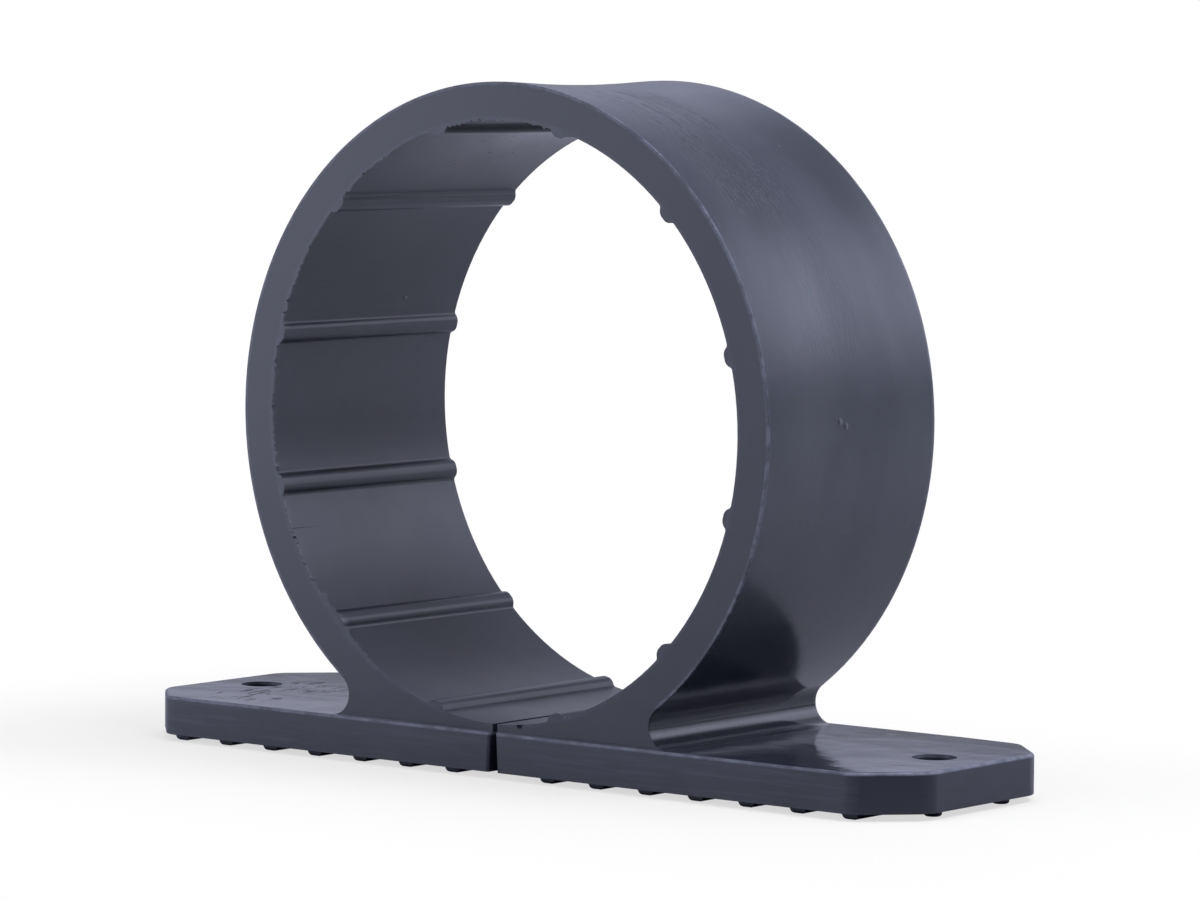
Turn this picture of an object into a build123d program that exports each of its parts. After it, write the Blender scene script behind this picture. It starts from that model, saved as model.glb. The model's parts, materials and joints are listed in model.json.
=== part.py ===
from build123d import *
import os
from math import cos, floor, radians, sin, tan

# Pipe clip moulded in one piece: a ribbed ring, split underneath, on two feet that are nailed down.
# X runs along the feet, Y along the pipe and Z up. The origin is under the middle of the feet.

# Pipe that the ring holds
pipe_diameter = 60.3
pipe_clearance = 0.05  # radial room between the pipe and the seat ribs

# Ring
ring_wall = 3.8
band_width = 28.1
band_edge_radius = 0.25
waist_depth = 0.4  # hollow across the band, at the top of the ring
waist_land = 1.2  # plain rim on each side of the hollow
waist_fade_angle = 120.0  # angle from the top at which the hollow has run out

# Seat ribs along the bore, with crests that lie on the pipe
seat_rib_count = 12
seat_rib_height = 0.7
seat_rib_width = 2.2  # at its foot, on the wall
seat_rib_flank_angle = 60.0
seat_rib_crest_radius = 0.45

# Feet
foot_reach = 16.35  # each foot beyond the side of the ring
foot_thickness = 4.15
foot_ledge = 0.45  # feet stand proud of the band, front and back
foot_corner_cut = 5.4  # outer corners are cut at 45 degrees
foot_corner_radius = 3.0
foot_edge_radius = 0.45
foot_root_radius = 2.2  # hollow curve from the ring into the feet
bore_floor = 0.8  # lowest line of the bore above the top of the feet

# Split between the feet, which lets the ring open over a pipe
split_top_width = 0.6
split_bottom_width = 1.2
split_corner_radius = 0.6

# Nail holes
hole_diameter = 4.5
hole_end_distance = 6.0

# Grip ribs and end studs under the feet
grip_depth = 0.7
grip_rib_pitch = 6.35
grip_rib_width = 2.2
grip_rib_crest_radius = 0.3
grip_rib_flank_angle = 60.0
grip_rib_setback = 1.2
end_stud_diameter = 1.8
end_stud_end_distance = 2.0
end_stud_spacing = 11.6

# Sizes that follow
crest_radius = pipe_diameter / 2 + pipe_clearance
bore_radius = crest_radius + seat_rib_height
ring_radius = bore_radius + ring_wall
foot_length = 2 * (ring_radius + foot_reach)
foot_width = band_width + 2 * foot_ledge
foot_top = grip_depth + foot_thickness
ring_height = foot_top + bore_floor + bore_radius

# Upright planes across the pipe, with their origins under the feet, at their top and on the ring's axis
floor_front = Plane.XZ
foot_front = Plane(origin=(0, 0, foot_top), x_dir=(1, 0, 0), z_dir=(0, -1, 0))
ring_front = Plane(origin=(0, 0, ring_height), x_dir=(1, 0, 0), z_dir=(0, -1, 0))


# Right foot with its nail hole, grip ribs and end studs, and its mirror image
with BuildPart() as feet:
    inner_end = split_top_width / 2
    outer_end = foot_length / 2
    with BuildSketch(Plane.XY.offset(grip_depth)) as foot_outline:
        with Locations(((inner_end + outer_end) / 2, 0)):
            Rectangle(outer_end - inner_end, foot_width)
        chamfer(foot_outline.vertices().group_by(Axis.X)[-1], foot_corner_cut)
        fillet(foot_outline.vertices().sort_by(Axis.X)[-4:], foot_corner_radius)
        fillet(foot_outline.vertices().group_by(Axis.X)[0], split_corner_radius)
    extrude(amount=foot_thickness)
    fillet(feet.faces().sort_by(Axis.Z)[-1].edges(), foot_edge_radius)

    grip_rib_count = floor((outer_end - foot_corner_cut) / grip_rib_pitch)
    with BuildSketch(floor_front) as grip_ribs:
        with Locations(*[(grip_rib_pitch * (i + 1), grip_depth) for i in range(grip_rib_count)]):
            Trapezoid(
                grip_rib_width,
                grip_depth,
                grip_rib_flank_angle,
                rotation=180,
                align=(Align.CENTER, Align.MIN),
            )
        fillet(grip_ribs.vertices().group_by(Axis.Y)[0], grip_rib_crest_radius)
    extrude(amount=foot_width / 2 - grip_rib_setback, both=True)

    with Locations((outer_end - end_stud_end_distance, 0, 0)):
        with GridLocations(0, end_stud_spacing, 1, 2):
            Cylinder(end_stud_diameter / 2, grip_depth, align=(Align.CENTER, Align.CENTER, Align.MIN))

    with Locations((outer_end - hole_end_distance, 0, foot_top)):
        Hole(hole_diameter / 2)
    mirror(about=Plane.YZ)


with BuildPart() as clip_body:
    # Disc of the ring on a bar that lies inside the feet, joined by the root curves
    root_bar_length = 2 * ring_radius
    root_bar_depth = foot_thickness / 2
    with BuildSketch(foot_front) as ring_side:
        with Locations((0, ring_height - foot_top)):
            Circle(ring_radius)
        with Locations((0, -root_bar_depth / 2)):
            Rectangle(root_bar_length, root_bar_depth)
        root_corners = ring_side.vertices().group_by(Axis.Y)[1].sort_by(Axis.X)[1:-1]
        fillet(root_corners, foot_root_radius)
    extrude(amount=band_width / 2, both=True)
    fillet(clip_body.faces().filter_by(Axis.Y).edges(), band_edge_radius)

    # Shallow hollow round the band, cut about an axis below the ring's own so that it fades downwards
    waist_drop = waist_depth / (1 - cos(radians(waist_fade_angle)))
    waist_radius = ring_radius + waist_drop * cos(radians(waist_fade_angle))
    waist_rim_radius = waist_radius + waist_depth
    waist_half_width = band_width / 2 - waist_land
    waist_overrun = 6
    waist_start = radians(-waist_fade_angle - waist_overrun)
    waist_axis = Axis((0, 0, ring_height - waist_drop), (0, 1, 0))
    waist_plane = Plane(
        origin=waist_axis.position,
        x_dir=waist_axis.direction,
        z_dir=(cos(waist_start), 0, -sin(waist_start)),
    )
    with BuildSketch(waist_plane):
        with BuildLine():
            ThreePointArc(
                (-waist_half_width, waist_rim_radius),
                (0, waist_radius),
                (waist_half_width, waist_rim_radius),
            )
            Polyline(
                (waist_half_width, waist_rim_radius),
                (waist_half_width, waist_rim_radius + ring_wall),
                (-waist_half_width, waist_rim_radius + ring_wall),
                (-waist_half_width, waist_rim_radius),
            )
        make_face()
    revolve(
        axis=waist_axis,
        revolution_arc=2 * (waist_fade_angle + waist_overrun),
        mode=Mode.SUBTRACT,
    )

    # Bore, which leaves the seat ribs standing
    seat_rib_spread = seat_rib_height / tan(radians(seat_rib_flank_angle))
    with BuildSketch(ring_front) as bore:
        Circle(bore_radius)
        with PolarLocations(
            bore_radius - seat_rib_height / 2, seat_rib_count, start_angle=180 / seat_rib_count
        ):
            Trapezoid(
                seat_rib_width + seat_rib_spread,
                2 * seat_rib_height,
                seat_rib_flank_angle,
                rotation=90,
                mode=Mode.SUBTRACT,
            )
        Circle(crest_radius)
        crest_corners = bore.vertices().sort_by_distance((0, 0))[: 2 * seat_rib_count]
        fillet(crest_corners, seat_rib_crest_radius)
    extrude(amount=band_width, both=True, mode=Mode.SUBTRACT)

    add(feet.part)

    # Split, wider at the bottom, which parts the two feet
    with BuildSketch(floor_front):
        with BuildLine():
            split_height = foot_top + bore_floor
            Polyline(
                (-split_bottom_width / 2, 0),
                (split_bottom_width / 2, 0),
                (split_top_width / 2, split_height),
                (split_top_width / 2, ring_height),
                (-split_top_width / 2, ring_height),
                (-split_top_width / 2, split_height),
                close=True,
            )
        make_face()
    extrude(amount=foot_width, both=True, mode=Mode.SUBTRACT)

clip_body.part.label = "clip_body"
os.makedirs("parts", exist_ok=True)
export_step(clip_body.part, "parts/clip_body.step")
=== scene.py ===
# %% [markdown]
# # A pipe clip moulded in one piece
# The clip is a wide plastic ring on two feet. Ribs inside the ring hold the pipe, and ribs under the
# feet grip the wood that it is nailed to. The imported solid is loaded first, because the main sizes come
# from it. All modelling is in millimetres, and each finished mesh is scaled to metres.

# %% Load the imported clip
import json
import math

import bmesh
import bpy
from mathutils import Matrix, Vector, noise


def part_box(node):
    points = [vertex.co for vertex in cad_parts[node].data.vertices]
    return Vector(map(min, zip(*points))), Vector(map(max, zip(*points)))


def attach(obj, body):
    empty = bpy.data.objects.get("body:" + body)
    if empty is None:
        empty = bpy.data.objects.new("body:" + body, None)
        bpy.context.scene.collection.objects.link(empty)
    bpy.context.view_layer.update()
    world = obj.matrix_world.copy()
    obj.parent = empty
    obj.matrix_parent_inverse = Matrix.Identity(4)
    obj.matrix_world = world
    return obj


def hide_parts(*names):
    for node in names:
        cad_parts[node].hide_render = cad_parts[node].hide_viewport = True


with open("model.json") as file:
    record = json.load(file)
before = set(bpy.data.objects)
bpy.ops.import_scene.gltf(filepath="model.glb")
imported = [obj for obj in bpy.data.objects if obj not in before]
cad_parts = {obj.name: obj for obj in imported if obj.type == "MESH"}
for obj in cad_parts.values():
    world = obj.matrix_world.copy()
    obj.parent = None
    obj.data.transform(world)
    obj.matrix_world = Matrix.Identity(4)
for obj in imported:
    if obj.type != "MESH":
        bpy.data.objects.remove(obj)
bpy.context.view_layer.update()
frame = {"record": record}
scene = bpy.context.scene

MM = 0.001
mounts = {mount["name"]: mount for mount in frame["record"]["mounts"]}
pipe_seat, nail_holes = mounts["pipe_seat"], mounts["nail_holes"]
clip_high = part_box("clip_body")[1]
axis_height = pipe_seat["pos_m"][2] / MM
crest_radius = pipe_seat["dims"]["r_mm"]
band_half = pipe_seat["dims"]["length_mm"] / 2
ring_radius = clip_high.z / MM - axis_height
foot_end = clip_high.x / MM
foot_half = clip_high.y / MM
foot_top = nail_holes["pos_m"][2] / MM
hole_radius = nail_holes["dims"]["hole_r_mm"]
hole_place = nail_holes["dims"]["spacing_x_mm"] / 2
print("ring radius", round(ring_radius, 2), "mm, feet", round(2 * foot_end, 2), "mm long")

# %% [markdown]
# ## Camera
# The photograph is taken from a little above the feet, from the right of the ring's open end, with a
# long lens. The camera is placed by three angles round the middle of the ring and by shifts in a unit
# close to the ring's radius, which is easier to adjust than a list of coordinates.

# %% Camera at the photograph's viewing angle
frame_width = 1200
focal_pixels = 5420.08
swing, rise, roll = (math.radians(angle) for angle in (38.8053, 4.4459, 0.3747))
shift_right, shift_up, shift_away = 0.04993, -0.10115, 16.252
shift_unit = 0.03465
ring_middle = Vector((0, 0, 0.0365))

away = Vector((math.sin(swing) * math.cos(rise), -math.cos(swing) * math.cos(rise), math.sin(rise)))
level = Vector((math.cos(swing), math.sin(swing), 0))
upright = away.cross(level)
camera_right = math.cos(roll) * level + math.sin(roll) * upright
camera_up = math.cos(roll) * upright - math.sin(roll) * level
shift = shift_right * camera_right + shift_up * camera_up + shift_away * away

camera = bpy.data.objects.new("photo_camera", bpy.data.cameras.new("photo_camera"))
camera.data.sensor_width = 36
camera.data.lens = focal_pixels / frame_width * camera.data.sensor_width
stand = Matrix((camera_right, camera_up, away)).transposed().to_4x4()
stand.translation = ring_middle + shift_unit * shift
camera.matrix_world = stand
scene.collection.objects.link(camera)
scene.camera = camera
print("camera is", round((stand.translation - ring_middle).length, 3), "m from the ring")

# %% [markdown]
# ## Side outline
# Seen along the pipe, the clip is one closed line: along the feet, up the hollow root curves, round
# the ring, and back round the bore with its twelve ribs. A curve object could be drawn and converted.
# Here a pen vertex draws it: straight runs are extruded from the pen and arcs are spun from it, so every
# curve is as fine as it needs to be, and the corners stay at hand for rounding.

# %% Pen that draws the outline
bore_step = 2.6  # degrees between points of an arc


def side_point(x, z):
    return Vector((x, -band_half, z))


def ring_point(radius, degrees):
    turn = math.radians(degrees)
    return side_point(radius * math.cos(turn), axis_height + radius * math.sin(turn))


def line_to(pen, point):
    end = bmesh.ops.extrude_vert_indiv(clip, verts=[pen])["verts"][0]
    end.co = point
    return end


def arc_to(pen, centre, degrees, step=bore_step):
    swept = bmesh.ops.spin(
        clip, geom=[pen], cent=centre, axis=(0, -1, 0),
        angle=math.radians(degrees), steps=max(1, round(abs(degrees) / step)),
    )
    return next(item for item in swept["geom_last"] if isinstance(item, bmesh.types.BMVert))


ring_centre = side_point(0, axis_height)
print("pen draws on the side at y =", round(ring_centre.y, 2), "mm")

# %% [markdown]
# ### Outside
# The pen starts at the split, goes along the right foot, up its root curve, round the ring and down to
# the other foot. On the real clip the root curve runs smoothly into both the ring and the foot. Its
# centre is therefore worked out from the two radii, which a bevel on the corner would only come near.

# %% Outline of feet, roots and ring
foot_bottom = 0.7
root_radius = 2.2
split_low, split_mid, split_high = 0.563, 0.342, 0.3
root_step, ring_step = 7, 2

root_rise = axis_height - foot_top - root_radius
root_reach = math.sqrt((ring_radius + root_radius) ** 2 - root_rise ** 2)
root_angle = math.degrees(math.atan2(root_rise, root_reach))

clip = bmesh.new()
start = clip.verts.new(side_point(split_low, foot_bottom))
pen = line_to(start, side_point(foot_end, foot_bottom))
pen = line_to(pen, side_point(foot_end, foot_top))
pen = right_root = line_to(pen, side_point(root_reach, foot_top))
pen = arc_to(pen, side_point(root_reach, foot_top + root_radius), -90 - root_angle, root_step)
pen = arc_to(pen, ring_centre, 180 + 2 * root_angle, ring_step)
pen = arc_to(pen, side_point(-root_reach, foot_top + root_radius), -90 - root_angle, root_step)
left_root = pen
left_root.co = side_point(-root_reach, foot_top)
pen = line_to(pen, side_point(-foot_end, foot_top))
pen = line_to(pen, side_point(-foot_end, foot_bottom))
pen = line_to(pen, side_point(-split_low, foot_bottom))
pen = left_split = line_to(pen, side_point(-split_mid, foot_top))
print("outline of the outside has", len(clip.verts), "points")

# %% [markdown]
# ### Bore
# Twelve ribs stand evenly in the bore, and the split lies midway between two of them. The wall between
# ribs is an arc. Each rib is a low trapezoid with one more point on its crest, so that the crest
# follows the pipe. The ribs could be joined to a plain bore later, but in the outline they cost nothing.

# %% Outline of the bore with its seat ribs
rib_count = 12
rib_height = 0.7
rib_foot, rib_crest = 1.1, 0.696
wall_radius = crest_radius + rib_height
foot_turn = math.degrees(math.asin(rib_foot / wall_radius))
crest_turn = math.degrees(math.asin(rib_crest / crest_radius))
mouth = math.degrees(math.asin(split_high / wall_radius))

rib_crests, rib_feet = [], []
reached = 270 - mouth
pen = line_to(pen, ring_point(wall_radius, reached))
for rib in range(rib_count):
    middle = 270 - (rib + 0.5) * 360 / rib_count
    pen = arc_to(pen, ring_centre, middle + foot_turn - reached)
    rib_feet.append(pen)
    for turn in (crest_turn, 0, -crest_turn):
        pen = line_to(pen, ring_point(crest_radius, middle + turn))
        if turn:
            rib_crests.append(pen)
    reached = middle - foot_turn
    pen = line_to(pen, ring_point(wall_radius, reached))
    rib_feet.append(pen)
pen = arc_to(pen, ring_centre, mouth - 90 - reached)
pen = right_split = line_to(pen, side_point(split_mid, foot_top))
bmesh.ops.contextual_create(clip, geom=[pen, start])
bmesh.ops.contextual_create(clip, geom=clip.edges[:])
print("closed outline:", len(clip.verts), "points,", len(clip.faces), "face")

# %% [markdown]
# ## From outline to body
# The ribs are round beads in the real bore. Their long edges could be bevelled later, but a corner of the
# flat outline is easier to pick, so it is rounded first. A line is cut at the top of each foot, and then
# the sheet is drawn along the pipe in steps. The steps are close together near the rims, where the bevels
# and the hollow of the band need them.

# %% Round the ribs and draw the body out
def soften(bm, geom, offset, segments, affect="EDGES"):
    return bmesh.ops.bevel(
        bm, geom=geom, offset=offset, offset_type="OFFSET", segments=segments,
        profile=0.5, affect=affect, material=-1, clamp_overlap=True,
    )


def draw_out(bm, faces, shift):
    edges = list({edge for face in faces for edge in face.edges})
    made = bmesh.ops.extrude_face_region(bm, geom=faces + edges)["geom"]
    moved = [item for item in made if isinstance(item, bmesh.types.BMVert)]
    bmesh.ops.translate(bm, vec=shift, verts=moved)
    return [item for item in made if isinstance(item, bmesh.types.BMFace)]


crest_rounding, rib_foot_rounding = 0.85, 0.45
corner_tangent = math.tan(math.radians(30))
soften(clip, rib_crests, crest_rounding * corner_tangent, 6, "VERTICES")
soften(clip, rib_feet, rib_foot_rounding * corner_tangent, 4, "VERTICES")
bmesh.ops.connect_verts(clip, verts=[right_root, right_split])
bmesh.ops.connect_verts(clip, verts=[left_root, left_split])

rim_steps = (0.4, 1.2, 2.6, 4.6, 6.9, 9.3, 11.7)
back_steps = [2 * band_half - step for step in reversed(rim_steps)]
sheet, drawn = clip.faces[:], 0
for depth in (*rim_steps, band_half, *back_steps, 2 * band_half):
    sheet = draw_out(clip, sheet, (0, depth - drawn, 0))
    drawn = depth
bmesh.ops.recalc_face_normals(clip, faces=clip.faces)
print("body drawn to", round(drawn, 2), "mm with", len(clip.faces), "faces")

# %% [markdown]
# ## Feet
# The feet stand a little proud of the ring at the front and back, and their outer corners are cut at 45
# degrees. Plates could be joined on, but extruding the side faces once more keeps it one mesh. Each corner
# is sliced off with a plane and closed with one face. Lines that the steps left on flat faces are
# dissolved, so that later bevels run cleanly.

# %% Ledges and cut corners of the feet
CLOSE = 1e-4  # millimetres that count as no distance
flat_angle = 1e-3
foot_ledge = foot_half - band_half
corner_cut = 5.4
for side in (-1, 1):
    plates = [
        face for face in clip.faces
        if face.normal.y * side > 0.9 and face.calc_center_median().z < foot_top
    ]
    draw_out(clip, plates, (0, side * foot_ledge, 0))
    for end in (-1, 1):
        sliced = bmesh.ops.bisect_plane(
            clip, geom=clip.verts[:] + clip.edges[:] + clip.faces[:], dist=1e-5,
            plane_co=(end * (foot_end - corner_cut), side * foot_half, 0), plane_no=(end, side, 0),
            clear_outer=True,
        )
        rim = [item for item in sliced["geom_cut"] if isinstance(item, bmesh.types.BMEdge)]
        bmesh.ops.contextual_create(clip, geom=rim)
bmesh.ops.recalc_face_normals(clip, faces=clip.faces)
seams = [
    edge for edge in clip.edges
    if edge.calc_face_angle() < flat_angle and all(vert.co.z < foot_top + CLOSE for vert in edge.verts)
]
bmesh.ops.dissolve_edges(clip, edges=seams, use_verts=True)
print("feet cut at four corners,", len(seams), "flat seams dissolved")

# %% [markdown]
# ### Rounded feet
# A mould has no sharp edges, and light catches on the rounded ones. A Bevel modifier would give them all
# one radius. Here the upright corners are rounded first, then the corners at the split, then the top and
# bottom edges that run round each foot, each with its own radius. Edges are picked by where they lie and by
# the angle between their faces, so no index has to be known.

# %% Rounded corners and edges of the feet
split_zone = 0.7
upright_length = 3
corner_radius, split_radius, top_radius, bottom_radius = 3.0, 0.35, 0.4, 0.2


def edges_between(bm, angle, test):
    return [
        edge for edge in bm.edges
        if edge.is_manifold and edge.calc_face_angle() > math.radians(angle)
        and all(test(vert.co) for vert in edge.verts)
    ]


def upright_edges(edges):
    return [edge for edge in edges if abs(edge.verts[0].co.z - edge.verts[1].co.z) > upright_length]


def beyond_hole(co):
    return abs(co.x) > hole_place


def at_split_corner(co):
    return abs(co.x) < split_zone and abs(co.y) > foot_half - 0.01


def on_foot_rim(co):
    return abs(co.x) > hole_place - 2 or abs(co.y) > band_half + 0.1 and abs(co.x) > split_zone


corners = upright_edges(edges_between(clip, 30, beyond_hole))
soften(clip, corners, corner_radius * math.tan(math.radians(22.5)), 8)
soften(clip, upright_edges(edges_between(clip, 60, at_split_corner)), split_radius, 5)
top_edges = edges_between(clip, 60, lambda co: abs(co.z - foot_top) < CLOSE and on_foot_rim(co))
soften(clip, top_edges, top_radius, 5)
bottom_edges = edges_between(clip, 60, lambda co: abs(co.z - foot_bottom) < CLOSE and on_foot_rim(co))
soften(clip, bottom_edges, bottom_radius, 3)
print("feet rounded along", len(corners), "corners and", len(top_edges), "top edges")

# %% [markdown]
# ## Hollow of the band
# The band is slightly waisted: it is hollow across its width at the top of the ring, and the hollow
# runs out towards the feet. A turned cutter could take it away. Moving the vertices of the outer face
# inwards by a shallow parabola is simpler, and it leaves the plain rims exactly where they are.

# %% Hollow across the outer face
waist_depth, waist_land = 0.4, 1.2
waist_fade, waist_blend = 0.267, 0.04
waist_half = band_half - waist_land
axis_line = Vector((0, 0, axis_height))
hollowed = 0
for vert in clip.verts:
    spoke = Vector((vert.co.x, 0, vert.co.z)) - axis_line
    if abs(spoke.length - ring_radius) > 0.01 or abs(vert.co.y) > band_half - 0.5:
        continue
    from_top = 1 - spoke.normalized().z
    hollow = waist_depth * (1 - (vert.co.y / waist_half) ** 2) - waist_fade * from_top
    hollow = (hollow + math.sqrt(hollow ** 2 + waist_blend ** 2)) / 2
    vert.co -= spoke.normalized() * hollow
    hollowed += 1
print("band hollowed at", hollowed, "points")

# %% [markdown]
# ## Rims
# The outer rims of the band are slightly rounded, as a worn mould leaves them, while the rims of the bore
# stay crisp. A modifier that bevels by angle couldn't tell them apart, so they are picked by their
# distance from the axis and bevelled in one go.

# %% Rounded rims of the band
rim_radius = 0.25


def axis_distance(co):
    return math.hypot(co.x, co.z - axis_height)


def on_outer_rim(co):
    at_side = abs(abs(co.y) - band_half) < CLOSE
    return at_side and axis_distance(co) > wall_radius + 1 and co.z > foot_top + 0.02


rims = edges_between(clip, 60, on_outer_rim)
soften(clip, rims, rim_radius, 4)
print("rims rounded along", len(rims), "edges")

# %% [markdown]
# ## Underside
# Seven bars and two small studs stand under each foot and bite into the wood. The bars are cubes drawn
# in at the crest and bevelled, and the studs are short cylinders. All of them reach a little into the
# foot, because a Boolean joins solids that overlap more safely than solids that only touch.

# %% Grip ribs and end studs
grip_pitch, grip_count = 6.35, 7
grip_base, grip_crest, grip_rounding = 1.1, 0.696, 0.3
grip_setback, stud_setback = 1.2, 2.0
stud_spread, stud_radius = 5.8, 0.9
overlap = 0.3
grip_reach = foot_half - grip_setback
stud_place = foot_end - stud_setback
stud_height = foot_bottom + overlap

grips = bmesh.new()
for end in (-1, 1):
    for rib in range(1, grip_count + 1):
        size = Matrix.Diagonal((2 * grip_base, 2 * grip_reach, foot_bottom, 1))
        bar_place = Matrix.Translation((end * rib * grip_pitch, 0, foot_bottom / 2))
        bar = bmesh.ops.create_cube(grips, size=1, matrix=bar_place @ size)["verts"]
        crest = [vert for vert in bar if vert.co.z < foot_bottom / 2]
        bmesh.ops.scale(
            grips, vec=(grip_crest / grip_base, 1, 1), verts=crest,
            space=Matrix.Translation((-end * rib * grip_pitch, 0, 0)),
        )
        roots = [vert for vert in bar if vert.co.z > foot_bottom / 2]
        tops = [face for face in roots[0].link_faces if all(vert in roots for vert in face.verts)]
        draw_out(grips, tops, (0, 0, overlap))
    for side in (-1, 1):
        bmesh.ops.create_cone(
            grips, cap_ends=True, segments=24,
            radius1=stud_radius, radius2=stud_radius, depth=stud_height,
            matrix=Matrix.Translation((end * stud_place, side * stud_spread, stud_height / 2)),
        )
on_crest = [edge for edge in grips.edges if all(abs(vert.co.z) < CLOSE for vert in edge.verts)]
soften(grips, on_crest, grip_rounding, 4)
bmesh.ops.recalc_face_normals(grips, faces=grips.faces)
print("underside has", 2 * grip_count, "bars and 4 studs")

# %% [markdown]
# ## Nail holes
# One plain hole goes through each foot, and it also cuts through the last bar. It could be cut before the
# bars are added, but then a bar would close it again. So the bars are joined first and the holes are cut
# after, both with exact Boolean modifiers. The result is one closed mesh, like the moulding.

# %% Nail holes, and one closed mesh
drill_length = 20
drills = bmesh.new()
for end in (-1, 1):
    bmesh.ops.create_cone(
        drills, cap_ends=True, segments=64,
        radius1=hole_radius, radius2=hole_radius, depth=drill_length,
        matrix=Matrix.Translation((end * hole_place, 0, 0)),
    )


def to_object(bm, name):
    bmesh.ops.scale(bm, vec=(MM, MM, MM), verts=bm.verts)
    mesh = bpy.data.meshes.new(name)
    bm.to_mesh(mesh)
    bm.free()
    made = bpy.data.objects.new(name, mesh)
    scene.collection.objects.link(made)
    return made


body = to_object(clip, "moulded_clip")
helpers = [(to_object(grips, "grip_helper"), "UNION"), (to_object(drills, "drill_helper"), "DIFFERENCE")]
for helper, operation in helpers:
    joint = body.modifiers.new(helper.name, "BOOLEAN")
    joint.object, joint.operation, joint.solver = helper, operation, "EXACT"
joined = bpy.data.meshes.new_from_object(body.evaluated_get(bpy.context.evaluated_depsgraph_get()))
body.modifiers.clear()
body.data = joined
for helper, operation in helpers:
    bpy.data.objects.remove(helper)
print("one closed mesh with", len(body.data.polygons), "faces")

# %% [markdown]
# ## Flash
# The front rim of the bore still carries flash, the thin ragged skin that squeezes into the joint of a
# mould. Its width round the bore is a formula. Angles count in degrees from the right of the bore, against
# the clock. The joint leaked on the left and at the top, and each leak has four angles: where it starts,
# is full, begins to fade and ends. Smooth noise gives the long waves and small cells give the tears. Two
# steps stand where a wider strip broke off. Drawn by hand, it would look less torn.

# %% Width of the flash
left_leak, left_width, left_swell = (112, 120, 234, 242), 0.34, 0.16
swell_start, swell_end = 190, 206
top_leak, top_width = (70, 80, 106, 112), 0.45
torn_strips = ((216.2, 219.4, 0.35), (219.2, 236, 0.8))  # start, end and width
torn_edge = 0.5
least_width = 0.02


def ramp(value, low, high):
    return min(1, max(0, (value - low) / (high - low)))


def leak_share(degrees, leak):
    start, full, fade, end = leak
    return ramp(degrees, start, full) * (1 - ramp(degrees, fade, end))


def torn_share(degrees, start, end):
    return ramp(degrees, start - torn_edge, start) * (1 - ramp(degrees, start, end))


def flash_width(degrees):
    left = leak_share(degrees, left_leak) * (left_width + left_swell * ramp(degrees, swell_start, swell_end))
    top = leak_share(degrees, top_leak) * top_width
    torn = sum(width * torn_share(degrees, start, end) for start, end, width in torn_strips)
    along = math.radians(degrees) * wall_radius
    long_wave = noise.noise((along * 0.35, 3.1, 0))
    short_wave = noise.noise((along * 1.3, 6.1, 0))
    wave = max(0.2, 0.75 + 0.5 * long_wave + 0.45 * short_wave)
    wide_tear = noise.cell((along * 2.3, 5.0, 0))
    fine_tear = noise.cell((along * 5.1, 8.0, 0))
    tear = 0.25 + 1.1 * wide_tear * (0.3 + 0.7 * fine_tear)
    return least_width + (left + top) * wave * tear + torn


print("flash is up to", round(max(flash_width(degrees) for degrees in range(360)), 2), "mm wide")

# %% [markdown]
# ### Drawing the flash out
# The flash is part of the moulding, so it isn't a strip laid on. The rim's own edge is divided finely,
# together with the next line behind it, so that the strip between them stays a grid, and the points on the
# rim are pulled into the bore. On a rib the crest already reaches inwards, so less is pulled there. This
# comes after the Booleans, which need clean walls.

# %% Flash along the front rim of the bore
long_edge, rim_cuts = 0.6, 8
crest_loss = 0.85


def in_bore_rim(co):
    return axis_distance(co) < wall_radius + 0.02 and co.z > foot_top + 0.75


def on_front_rim(co):
    return abs(co.y + band_half) < CLOSE and in_bore_rim(co)


def beside_front_rim(co):
    return co.y < -band_half + rim_steps[0] + CLOSE and in_bore_rim(co)


clip = bmesh.new()
clip.from_mesh(body.data)
bmesh.ops.scale(clip, vec=(1 / MM, 1 / MM, 1 / MM), verts=clip.verts)
rim_edges = [
    edge for edge in clip.edges
    if edge.calc_length() > long_edge and abs(edge.verts[0].co.y - edge.verts[1].co.y) < CLOSE
    and all(beside_front_rim(vert.co) for vert in edge.verts)
]
bmesh.ops.subdivide_edges(clip, edges=rim_edges, cuts=rim_cuts, use_grid_fill=True)
ragged = [vert for vert in clip.verts if on_front_rim(vert.co)]
for vert in ragged:
    spoke = Vector((vert.co.x, 0, vert.co.z - axis_height))
    angle = math.degrees(math.atan2(spoke.z, spoke.x)) % 360
    crest_share = ramp(wall_radius - spoke.length, 0.2, 0.6)
    vert.co -= spoke.normalized() * flash_width(angle) * (1 - crest_loss * crest_share)
bmesh.ops.scale(clip, vec=(MM, MM, MM), verts=clip.verts)
clip.to_mesh(body.data)
clip.free()
print("flash torn over", len(ragged), "points")

# %% [markdown]
# ## Shading
# The moulding has flat plates beside round edges. Smooth shading alone would bend the flats, so edges
# sharper than a limit are kept sharp and the normals are weighted by face area. The mesh then takes the
# packed clip's place and rides on its body.

# %% Smooth shading
sharp_angle = 35
body.data.shade_smooth()
body.data.set_sharp_from_angle(angle=math.radians(sharp_angle))
evening = body.modifiers.new("even_flats", "WEIGHTED_NORMAL")
evening.keep_sharp = True
print("moulded clip:", len(body.data.polygons), "faces")

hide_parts("clip_body")
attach(body, "root")

# %% [markdown]
# ## Slate plastic: coordinates
# The plastic is one dark slate grey, but its surface tells how it was made: the mould slid along the
# bore, something rubbed round the band, and the feet are polished. A painted picture could carry all this,
# but nodes need no unwrapping. Every pattern needs its own direction. Object coordinates in millimetres
# give x, y and z. The angle round the ring's axis, taken from the top, times the radius gives a length
# round the ring, so patterns can run round the band or along the pipe. The helpers add nodes to the tree
# that is being built, here and later for floor and light.

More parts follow.
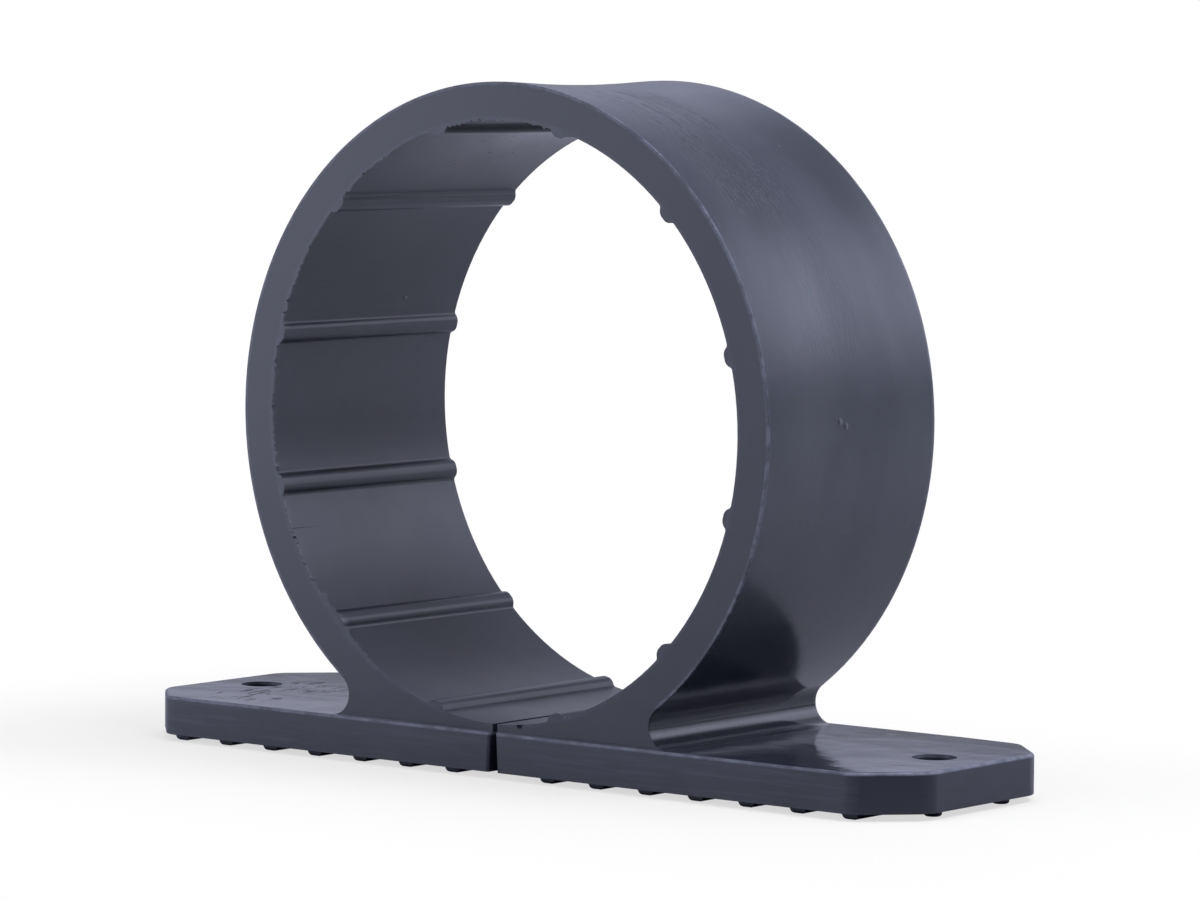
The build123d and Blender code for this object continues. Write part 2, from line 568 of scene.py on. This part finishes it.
# %% Coordinates in millimetres
plastic = bpy.data.materials.new("slate_plastic")
plastic.use_nodes = True
tree = plastic.node_tree
shader = tree.nodes["Principled BSDF"]


def feed(socket, value):
    if isinstance(value, bpy.types.NodeSocket):
        tree.links.new(value, socket)
    else:
        socket.default_value = value


def calc(operation, first, second=0.0, clamp=False):
    made = tree.nodes.new("ShaderNodeMath")
    made.operation, made.use_clamp = operation, clamp
    feed(made.inputs[0], first)
    feed(made.inputs[1], second)
    return made.outputs[0]


def hypotenuse(first, second):
    return calc("SQRT", calc("ADD", calc("MULTIPLY", first, first), calc("MULTIPLY", second, second)))


object_place = tree.nodes.new("ShaderNodeTexCoord")
millimetres = tree.nodes.new("ShaderNodeVectorMath")
millimetres.operation = "SCALE"
feed(millimetres.inputs[0], object_place.outputs["Object"])
millimetres.inputs["Scale"].default_value = 1 / MM
along_xyz = millimetres.outputs[0]
split_xyz = tree.nodes.new("ShaderNodeSeparateXYZ")
feed(split_xyz.inputs[0], along_xyz)
at_x, at_y, at_z = split_xyz.outputs
above_axis = calc("SUBTRACT", at_z, axis_height)
from_axis = hypotenuse(at_x, above_axis)
ring_turn = calc("ARCTAN2", at_x, above_axis)
unrolled = tree.nodes.new("ShaderNodeCombineXYZ")
feed(unrolled.inputs[0], calc("MULTIPLY", ring_turn, ring_radius))
feed(unrolled.inputs[1], at_y)
feed(unrolled.inputs[2], from_axis)
round_ring = unrolled.outputs[0]
print("coordinates take", len(tree.nodes), "nodes")

# %% [markdown]
# ## Slate plastic: places
# Soft ramps on the coordinates say where a point is: on the feet, on the flat sides, in the bore or on the
# band. Vertex groups could mark these places too, but ramps need no painting and give soft edges of any
# width. The lower part of the band, towards the roots, is polished on the real clip and mirrors the feet.

# %% Places on the clip
polish_full, polish_end = 15.0, 34.0


def span(value, low, high, at_low=0.0, at_high=1.0):
    made = tree.nodes.new("ShaderNodeMapRange")
    made.interpolation_type = "SMOOTHSTEP"
    for socket, number in zip(made.inputs[:5], (value, low, high, at_low, at_high)):
        feed(socket, number)
    return made.outputs[0]


def both(*masks):
    product = masks[0]
    for mask in masks[1:]:
        product = calc("MULTIPLY", product, mask)
    return product


def opposite(mask):
    return calc("SUBTRACT", 1.0, mask)


on_feet = opposite(span(at_z, foot_top + 0.05, foot_top + 0.4))
on_foot_top = both(on_feet, span(at_z, foot_top - 0.12, foot_top - 0.03))
on_flank = span(calc("ABSOLUTE", at_y), band_half - 0.06, band_half - 0.02)
in_bore = both(opposite(span(from_axis, wall_radius + 0.1, wall_radius + 0.4)), opposite(on_feet))
off_bore = span(from_axis, ring_radius - 1.2, ring_radius - 0.8)
on_band = both(off_bore, opposite(on_flank), opposite(on_feet))
polished = both(on_band, opposite(span(at_z, polish_full, polish_end)))
dull_band = both(on_band, opposite(polished))
print("places set with", len(tree.nodes), "nodes")

# %% [markdown]
# ## Slate plastic: noises
# Moulded plastic is cloudy and never quite even. A broad noise gives the clouds, a flat wide one the
# sinks of the band, and two finer ones the mottle and the grain. Three stretched ones run round the band,
# along the bore and along the feet, as drag lines of the mould do, and a slow one waves the tops of the
# feet. Stretching is done with a Mapping node, so each noise stays a plain one.

# %% Noises of the surface
def grain_of(vector, scale, detail=2.0, roughness=0.5, offset=(0, 0, 0)):
    stretch = tree.nodes.new("ShaderNodeMapping")
    feed(stretch.inputs["Vector"], vector)
    stretch.inputs["Scale"].default_value = scale
    stretch.inputs["Location"].default_value = offset
    made = tree.nodes.new("ShaderNodeTexNoise")
    feed(made.inputs["Vector"], stretch.outputs[0])
    made.inputs["Scale"].default_value = 1.0
    made.inputs["Detail"].default_value = detail
    made.inputs["Roughness"].default_value = roughness
    return made.outputs["Fac"]


clouds = grain_of(along_xyz, (0.09, 0.09, 0.09), 4.0)
sinks = grain_of(round_ring, (0.05, 0.09, 0.05), 1.0, 0.4, (0.0, 3.0, 0.0))
mottle = grain_of(along_xyz, (0.6, 0.6, 0.6), 3.0, 0.6, (0.0, 4.0, 9.0))
fine_grain = grain_of(along_xyz, (3.2, 3.2, 3.2), 3.0, 0.6)
band_streaks = grain_of(round_ring, (0.12, 2.2, 0.3), 3.0, 0.6)
bore_streaks = grain_of(round_ring, (2.0, 0.10, 0.3), 3.0, 0.6)
foot_streaks = grain_of(along_xyz, (0.10, 0.10, 2.6), 3.0, 0.6)
foot_waves = grain_of(along_xyz, (0.14, 0.22, 0.2), 1.5, 0.4, (5.0, 3.0, 0.0))
streaks = both(band_streaks, on_band)
for pattern, where in ((bore_streaks, in_bore), (foot_streaks, on_feet)):
    streaks = calc("ADD", streaks, both(pattern, where))
print("surface noises bring it to", len(tree.nodes), "nodes")

# %% [markdown]
# ## Slate plastic: rubbed patches and painted shade
# The band was rubbed near its top, brushed beside it and grained lower down. Two spots on it are painted
# darker as shade in its highlight, and the top of the bore is painted dark as shade. A patch is a soft
# rectangle in two coordinates, such as y in millimetres and the turn round the ring in radians. Inside the
# rubbed one a stretched noise is cut off sharply, which leaves broken lines. Single scratches could be drawn
# as curves, but nobody would see the difference at this size.

# %% Patches on the band and at the top of the bore
def patch(first, second, low, high, soft):
    return both(
        span(first, low[0] - soft[0], low[0]), opposite(span(first, high[0], high[0] + soft[0])),
        span(second, low[1] - soft[1], low[1]), opposite(span(second, high[1], high[1] + soft[1])),
    )


rub_lines = span(grain_of(round_ring, (0.08, 3.0, 0.2), 2.0, 0.6, (4.0, 0.0, 0.0)), 0.50, 0.62)
rub_breaks = span(grain_of(round_ring, (0.9, 1.6, 0.2), 2.0, 0.6, (1.0, 6.0, 0.0)), 0.40, 0.55)
rub_place = both(on_band, patch(at_y, ring_turn, (-8.0, 0.26), (0.0, 0.80), (3.0, 0.15)))
rubbed = both(rub_lines, rub_breaks, rub_place)
brushed_place = both(on_band, patch(at_y, ring_turn, (-14.0, 0.12), (1.0, 0.62), (2.0, 0.2)))
# Painted shade: two patches on the band are painted darker for dark reflections in its highlight.
shaded_band_left = both(on_band, patch(at_y, ring_turn, (-7.0, 0.62), (-3.0, 0.80), (4.0, 0.25)))
shaded_band_right = both(on_band, patch(at_y, ring_turn, (10.0, 0.58), (14.0, 0.82), (4.0, 0.25)))
grain_lines = grain_of(round_ring, (0.55, 3.2, 0.2), 2.0, 0.6, (7.0, 2.0, 0.0))
grain_place = both(on_band, patch(at_y, ring_turn, (-5.0, 0.95), (2.0, 1.32), (3.0, 0.15)))
# Painted shade: the top of the bore is painted near black and mirrors less, for the shade it lies in.
bore_top_shade_patch = patch(at_y, ring_turn, (-14.0, -0.23), (14.0, 0.10), (1.0, 0.04))
painted_shade_bore_top = both(in_bore, opposite(on_flank), bore_top_shade_patch)
print("patches bring it to", len(tree.nodes), "nodes")

# %% [markdown]
# ## Slate plastic: scratches
# A few drag lines run along the bore, small pits lie near its top left, and the left foot is scuffed
# between its hole and the ring. All of them are noises cut off high, so only their peaks are left. The
# largest of several masks stands wherever they overlap, so no mark counts twice.

# %% Drag lines, pits and scuffs
def either(*masks):
    largest = masks[0]
    for mask in masks[1:]:
        largest = calc("MAXIMUM", largest, mask)
    return largest


drag_noise = grain_of(round_ring, (2.6, 0.03, 0.2), 2.0, 0.5, (1.7, 0.0, 0.0))
drag_lines = both(in_bore, span(drag_noise, 0.70, 0.84))
pit_noise = grain_of(along_xyz, (1.5, 0.9, 1.5), 2.0, 0.6, (2.0, 0.0, 3.0))
pit_place = both(in_bore, patch(at_y, ring_turn, (-4.0, -0.55), (7.0, -0.30), (3.0, 0.1)))
pits = both(pit_place, span(pit_noise, 0.64, 0.74))
scuff_noise = grain_of(along_xyz, (1.2, 0.30, 1.0), 2.0, 0.6, (3.0, 1.0, 0.0))
scuff_place = both(on_foot_top, patch(at_x, at_y, (-42.0, -9.0), (-36.0, 6.0), (3.0, 4.0)))
scuffs = both(scuff_place, span(scuff_noise, 0.56, 0.64))
scratched = either(rubbed, pits, drag_lines, scuffs)
print("scratches bring it to", len(tree.nodes), "nodes")

# %% [markdown]
# ## Slate plastic: worn edges and a painted highlight
# Edges that were handled are paler and rougher: the outer rims of the band, the top edges of the feet and,
# more faintly, the flash. Along the top edges of the feet the pale line is also a painted highlight, where
# the rounded edge catches the light. The Pointiness of the mesh could find edges, but it would wear all of
# them alike. Distances to these few edges come from the coordinates, and a noise along the edge leaves gaps,
# so the wear looks knocked and not painted.

# %% Worn edges
rim_reach, flash_reach, flash_wear = 0.42, 0.55, 0.16


def near_edge(first, second, reach):
    return opposite(span(hypotenuse(first, second), reach * 0.4, reach))


depth_y = calc("SUBTRACT", calc("ABSOLUTE", at_y), band_half)
from_rim = calc("SUBTRACT", from_axis, ring_radius)
rim_line = both(near_edge(from_rim, depth_y, rim_reach), span(at_z, 8.6, 10.0))
flash_line = near_edge(calc("SUBTRACT", from_axis, wall_radius - 0.1), depth_y, flash_reach)
# Pale line along the top edges of the feet: partly wear, partly a painted highlight.
below_edge = span(at_z, foot_top - 0.42, foot_top - 0.25)
foot_edge_wear_and_highlight = both(below_edge, opposite(span(at_z, foot_top - 0.05, foot_top)))
knock_noise = grain_of(along_xyz, (0.6, 0.6, 0.6), 4.0, 0.7, (2.0, 7.0, 1.0))
knocks = span(knock_noise, 0.38, 0.62, 0.2, 1.0)
edge_wear = both(either(rim_line, both(flash_line, flash_wear)), knocks)
print("worn edges bring it to", len(tree.nodes), "nodes")

# %% [markdown]
# ## Slate plastic: single marks
# Some marks are one of a kind: a nick on the band, two specks, a small torn hole beside the split, only
# painted black as the shade inside it, and a dull smudge on the right foot. Each is a soft ball round one
# point, which is simpler than a texture.

# %% Single marks
def mark(spot_mm, radius):
    distance = tree.nodes.new("ShaderNodeVectorMath")
    distance.operation = "DISTANCE"
    feed(distance.inputs[0], along_xyz)
    distance.inputs[1].default_value = spot_mm
    return opposite(span(distance.outputs["Value"], 0.0, radius))


def on_ring(radius, degrees, across):
    turn = math.radians(degrees)
    return (radius * math.cos(turn), across, axis_height + radius * math.sin(turn))


nick = either(mark(on_ring(ring_radius, 2.0, -2.0), 0.5), mark(on_ring(ring_radius, 1.2, -1.0), 0.45))
speck = either(mark(on_ring(ring_radius, 55.0, 7.0), 0.35), mark(on_ring(wall_radius, 159.0, 5.0), 0.3))
# Painted shade: the torn hole is not cut, only painted black where its inside lies in shade.
painted_hole_shade = span(mark(on_ring(wall_radius, 276.0, 0.3 - band_half), 1.0), 0.35, 0.65)
smudge = mark((hole_place - 5.5, -3.0, foot_top), 5.0)
print("marks bring it to", len(tree.nodes), "nodes")

# %% [markdown]
# ## Slate plastic: colour
# The colour is a dark slate that the clouds, the streaks and the mottle lighten or darken a little. Mix
# nodes in a row then work like coats of paint, so their order counts. Scratches are darker, and two patches
# on the band and the top of the bore are painted darker as shade. Worn edges are paler, most of all along
# the tops of the feet, where the pale line is also a painted highlight. The painted shade of the torn hole
# comes last.

# %% Colour
slate_dark = (0.014, 0.0165, 0.022, 1)
slate_light = (0.023, 0.0265, 0.034, 1)
pale_wear = (0.13, 0.14, 0.165, 1)
# Pale colour of the foot edges, partly wear and partly a painted highlight.
pale_edge_and_highlight = (0.30, 0.32, 0.37, 1)
# Dark of the scratches and of the painted shade.
scratch_and_shade_dark = (0.012, 0.014, 0.018, 1)
# Black of the painted shade in the torn hole.
hole_shade_black = (0.003, 0.003, 0.004, 1)


def tint(factor, first, second):
    made = tree.nodes.new("ShaderNodeMix")
    made.data_type = "RGBA"
    feed(made.inputs["Factor"], factor)
    feed(made.inputs["A"], first)
    feed(made.inputs["B"], second)
    return made.outputs["Result"]


cloudiness = calc("ADD", clouds, calc("MULTIPLY", streaks, 0.4))
cloudiness = calc("ADD", cloudiness, calc("MULTIPLY", mottle, 0.5))
colour = tint(span(cloudiness, 0.55, 1.35), slate_dark, slate_light)
coats = (
    # Painted shade on two patches of the band.
    (both(either(shaded_band_left, shaded_band_right), 0.6), scratch_and_shade_dark),
    # Painted shade at the top of the bore.
    (both(painted_shade_bore_top, 0.8), scratch_and_shade_dark),
    (both(scratched, 0.8), scratch_and_shade_dark),
    (both(speck, 0.5), pale_wear),
    (both(edge_wear, 0.65), pale_wear),
    # Wear and painted highlight along the top edges of the feet.
    (both(foot_edge_wear_and_highlight, span(mottle, 0.3, 0.7, 0.15, 0.4)), pale_edge_and_highlight),
    (both(on_feet, on_flank, span(foot_streaks, 0.45, 0.75), 0.12), pale_wear),
    # Painted shade of the torn hole.
    (painted_hole_shade, hole_shade_black),
)
for share, shade in coats:
    colour = tint(share, colour, shade)
feed(shader.inputs["Base Color"], colour)
print("colour brings it to", len(tree.nodes), "nodes")

# %% [markdown]
# ## Slate plastic: gloss
# The feet and the roots are glossier than the band, and the flat sides are dull. Wear and scratches are
# rougher, and the scuffs more so. On the plain band only the broad clouds vary it, because a fine pattern
# there would sparkle in the highlight. At the painted shade of the top of the bore and of the torn hole the
# specular is turned down too, so they hardly mirror at all.

# %% Gloss
plain_roughness, plain_specular = 0.37, 0.5
root_polish, foot_polish, flank_dulling = 0.19, 0.25, 0.06
cloud_share, mottle_share = 0.14, 0.06
wear_dulling, scuff_dulling = 0.15, 0.30
mirror_loss = 0.4


def vary(value, pattern, amount):
    return calc("ADD", value, calc("MULTIPLY", calc("SUBTRACT", pattern, 0.5), amount))


roughness = calc("SUBTRACT", plain_roughness, both(polished, root_polish))
roughness = calc("ADD", roughness, both(on_flank, flank_dulling))
roughness = calc("SUBTRACT", roughness, both(on_foot_top, foot_polish))
roughness = vary(roughness, clouds, cloud_share)
roughness = vary(roughness, both(mottle, opposite(on_band)), mottle_share)
for worn in (edge_wear, foot_edge_wear_and_highlight, scratched, smudge):
    roughness = calc("ADD", roughness, both(worn, wear_dulling))
roughness = calc("ADD", roughness, both(scuffs, scuff_dulling), clamp=True)
feed(shader.inputs["Roughness"], roughness)
# Specular is turned down at the painted shade of the bore's top and of the torn hole.
specular = calc("SUBTRACT", plain_specular, both(either(painted_shade_bore_top, painted_hole_shade), mirror_loss))
feed(shader.inputs["Specular IOR Level"], specular)
print("gloss brings it to", len(tree.nodes), "nodes")

# %% [markdown]
# ## Slate plastic: relief
# The relief is small: a crown and waves on the polished feet, shallow sinks on the band, streaks and grain
# of a few thousandths of a millimetre, and brushing, scratches and specks of up to a tenth. Real geometry
# would need millions of faces. Bump nodes are chained instead, and each has a place where it acts, so no
# layer spills over the edges of another.

# %% Relief
everywhere = 1.0
foot_crown = 0.25


def relief(height, depth_mm, where, below):
    made = tree.nodes.new("ShaderNodeBump")
    feed(made.inputs["Strength"], where)
    made.inputs["Distance"].default_value = depth_mm * MM
    feed(made.inputs["Height"], height)
    if below:
        feed(made.inputs["Normal"], below)
    return made.outputs[0]


# Pattern, its depth in millimetres, and where it acts
layers = (
    (calc("MULTIPLY", at_y, at_y), -foot_crown / foot_half ** 2, on_foot_top),
    (foot_waves, 0.10, on_foot_top),
    (mottle, 0.02, on_foot_top),
    (sinks, 0.45, dull_band),
    (clouds, 0.08, everywhere),
    (band_streaks, 0.0025, dull_band),
    (bore_streaks, 0.004, in_bore),
    (foot_streaks, 0.004, on_feet),
    (grain_lines, 0.018, grain_place),
    (mottle, 0.02, brushed_place),
    (fine_grain, 0.0008, everywhere),
    (scratched, -0.035, everywhere),
    (scuffs, -0.06, everywhere),
    (either(nick, speck), 0.09, everywhere),
)
surface = None
for height, depth_mm, where in layers:
    surface = relief(height, depth_mm, where, surface)
feed(shader.inputs["Normal"], surface)
body.data.materials.clear()
body.data.materials.append(plastic)
print("slate plastic has", len(tree.nodes), "nodes")

# %% [markdown]
# ## Directions
# Floor and light are set by directions round the clip: azimuth counts clockwise from straight behind the
# ring, seen from above, and elevation counts up from the floor. The dot product with a direction says how
# far a point lies that way, or how close a ray comes to it. Empties could mark directions too, but two
# angles are easier to change.

# %% Directions round the clip
def heading(azimuth, elevation):
    turn, lift = math.radians(azimuth), math.radians(elevation)
    return Vector((math.sin(turn) * math.cos(lift), math.cos(turn) * math.cos(lift), math.sin(lift)))


def along_heading(point, azimuth, elevation):
    made = tree.nodes.new("ShaderNodeVectorMath")
    made.operation = "DOT_PRODUCT"
    feed(made.inputs[0], point)
    made.inputs[1].default_value = heading(azimuth, elevation)
    return made.outputs["Value"]


print("azimuth 90 points along", tuple(round(part) for part in heading(90, 0)))

# %% [markdown]
# ## Floor
# The clip stands on plain white paper. Its own shading is a matt colour, painted darker towards the front
# right as shade on the camera's side, and a faint glow on three sides stands for paper that the studio
# lights more strongly there. This is what bounced light and most reflections see. Lamps aimed at the paper
# could do the same, but each would add its own shadow and highlight.

# %% Paper as it is lit
cool_light = (0.875, 0.905, 1.166)
bright_paper, dim_paper = (0.45, 0.45, 0.45, 1), (0.12, 0.12, 0.12, 1)
neutral_paper = (0.70, 0.68, 0.53, 1)  # evens out the cool light for the camera
dim_side, dim_near, dim_far = 130, 0.03, 0.12
# Azimuth in degrees, near and far in metres, and strength
sides = ((39, 0.02, 0.2, 0.48), (219, 0.02, 0.2, 0.95), (321, 0.06, 0.2, 0.80))
floor_half = 4

table = bmesh.new()
bmesh.ops.create_grid(table, x_segments=1, y_segments=1, size=floor_half / MM)
floor = to_object(table, "pale_floor")
paper = bpy.data.materials.new("white_paper")
paper.use_nodes = True
tree = paper.node_tree
tree.nodes.clear()
spot = tree.nodes.new("ShaderNodeTexCoord").outputs["Object"]
path = tree.nodes.new("ShaderNodeLightPath")
by_camera = path.outputs["Is Camera Ray"]

matt = tree.nodes.new("ShaderNodeBsdfDiffuse")
# Painted shade: the paper's colour is darker towards the front right, where the studio is dim.
dimming = span(along_heading(spot, dim_side, 0), dim_near, dim_far)
paper_with_painted_shade = tint(dimming, bright_paper, dim_paper)
feed(matt.inputs["Color"], tint(by_camera, paper_with_painted_shade, neutral_paper))
lit = tree.nodes.new("ShaderNodeEmission")
lit.inputs["Color"].default_value = (*cool_light, 1)
side_light = 0.0
for azimuth, near, far, strength in sides:
    one_side = span(along_heading(spot, azimuth, 0), near, far, 0.0, strength)
    side_light = calc("ADD", side_light, one_side)
feed(lit.inputs["Strength"], both(side_light, opposite(by_camera)))
as_lit = tree.nodes.new("ShaderNodeAddShader")
feed(as_lit.inputs[0], matt.outputs[0])
feed(as_lit.inputs[1], lit.outputs[0])
print("paper is lit from", len(sides), "sides")

# %% [markdown]
# ### White paper
# The camera sees the paper as white, and close to the clip part of its real shading is mixed in, so the
# clip keeps a soft shadow. Mirrored and refracted rays see the same white where the paper runs off straight
# behind the clip. More light would make the paper white too, but it would wash out the dark plastic.

# %% Paper as the camera and reflections see it
backdrop_side = 321
backdrop_near, backdrop_far = 0.5, 1.5
shadow_reach, shadow_white = 0.05, 0.65


def past_edge(place, edge):
    return calc("MAXIMUM", calc("SUBTRACT", calc("ABSOLUTE", place), edge))


spot_xyz = tree.nodes.new("ShaderNodeSeparateXYZ")
feed(spot_xyz.inputs[0], spot)
past_ends = past_edge(spot_xyz.outputs[0], foot_end * MM)
past_sides = past_edge(spot_xyz.outputs[1], foot_half * MM)
past_feet = hypotenuse(past_ends, past_sides)
shown_near = both(by_camera, span(past_feet, 0.0, shadow_reach, shadow_white, 1.0))
mirrored = either(path.outputs["Is Glossy Ray"], path.outputs["Is Transmission Ray"])
far_behind = span(along_heading(spot, backdrop_side, 0), backdrop_near, backdrop_far)
white = tree.nodes.new("ShaderNodeEmission")
laid = tree.nodes.new("ShaderNodeMixShader")
feed(laid.inputs[0], either(shown_near, both(mirrored, far_behind)))
feed(laid.inputs[1], as_lit.outputs[0])
feed(laid.inputs[2], white.outputs[0])
out = tree.nodes.new("ShaderNodeOutputMaterial")
feed(out.inputs["Surface"], laid.outputs[0])
floor.data.materials.append(paper)
print("floor is", 2 * floor_half, "m wide")

# %% [markdown]
# ## Studio light
# The light is soft and cool. Far glows behind the clip and at the front left stand for white studio walls,
# and the camera's side stays dim, which keeps the cut corner of the foot dark. Low down the walls are
# dimmer, as where they meet the floor. A picture of a studio could light the clip too, but glows by
# formula can be moved one by one.

# %% Glow of the studio walls
# Azimuth and elevation in degrees, and strength
glows = ((0, 12, 0.85), (30, 14, 1.9), (210, 12, 4.2), (300, 12, 0.40), (322, 20, 0.42))
glow_focus, even_glow = 14.0, 0.22
dim_height, dim_share = 0.26, 0.2

studio = bpy.data.worlds.new("studio")
scene.world = studio
studio.use_nodes = True
tree = studio.node_tree
tree.nodes.clear()
sky = tree.nodes.new("ShaderNodeTexCoord").outputs["Generated"]
sky_xyz = tree.nodes.new("ShaderNodeSeparateXYZ")
feed(sky_xyz.inputs[0], sky)
sky_height = sky_xyz.outputs[2]
glow_sum = 0.0
for azimuth, elevation, strength in glows:
    off_centre = calc("SUBTRACT", along_heading(sky, azimuth, elevation), 1.0)
    spread = calc("EXPONENT", calc("MULTIPLY", off_centre, glow_focus))
    glow_sum = calc("ADD", glow_sum, calc("MULTIPLY", spread, strength))
glow_sum = calc("ADD", glow_sum, even_glow)
glow_sum = both(glow_sum, span(sky_height, 0.0, dim_height, dim_share, 1.0))
walls = tree.nodes.new("ShaderNodeBackground")
walls.inputs["Color"].default_value = (*cool_light, 1)
feed(walls.inputs["Strength"], glow_sum)
print("studio has", len(glows), "glows")

# %% [markdown]
# ### White background
# The camera sees plain white behind the paper. Mirrored and refracted rays see it too, in a low strip
# straight behind the clip where the paper meets the wall, so the background in a reflection is the one in
# the picture. Everything else is lit by the walls.

# %% White behind the clip
blank = tree.nodes.new("ShaderNodeBackground")
blank.inputs["Color"].default_value = (1, 1, 1, 1)
path = tree.nodes.new("ShaderNodeLightPath")
mirrored = either(path.outputs["Is Glossy Ray"], path.outputs["Is Transmission Ray"])
straight_behind = span(along_heading(sky, backdrop_side, 0), 0.9, 0.95)
low_strip = opposite(span(sky_height, 0.01, 0.03))
backdrop = both(straight_behind, low_strip)
seen = tree.nodes.new("ShaderNodeMixShader")
feed(seen.inputs[0], either(path.outputs["Is Camera Ray"], both(mirrored, backdrop)))
feed(seen.inputs[1], walls.outputs[0])
feed(seen.inputs[2], blank.outputs[0])
out = tree.nodes.new("ShaderNodeOutputWorld")
feed(out.inputs["Surface"], seen.outputs[0])
print("studio light has", len(tree.nodes), "nodes")

# %% [markdown]
# ### Panels
# Soft panels add the broad highlight on the band, light the top of the ring and lift its front. Each is set
# by its direction, distance and side, and by how bright it looks, because a panel's brightness is what
# shows in the plastic. Its energy follows from that.

# %% Soft panels
def panel(name, azimuth, elevation, distance, side, brightness):
    toward = heading(azimuth, elevation)
    lamp = bpy.data.lights.new(name, "AREA")
    lamp.shape = "SQUARE"
    lamp.size = side
    lamp.energy = math.pi * side ** 2 * brightness
    lamp.color = cool_light
    holder = bpy.data.objects.new(name, lamp)
    scene.collection.objects.link(holder)
    holder.location = ring_middle + toward * distance
    holder.rotation_mode = "QUATERNION"
    holder.rotation_quaternion = toward.to_track_quat("Z", "Y")
    return holder


# Azimuth and elevation in degrees, distance and side in metres, and brightness
panels = [
    panel("back_right_panel", 27, 25, 0.5, 0.2, 0.72),
    panel("front_left_panel", 235, 8, 0.3, 0.15, 1.95),
    panel("right_top_panel", 90, 50, 0.3, 0.15, 10.22),
    panel("back_left_panel", 325, 40, 0.5, 0.2, 0.31),
    panel("top_panel", 0, 90, 0.3, 0.2, 4.2),
]
scene.view_settings.view_transform = "Standard"
print("studio has", len(panels), "panels")
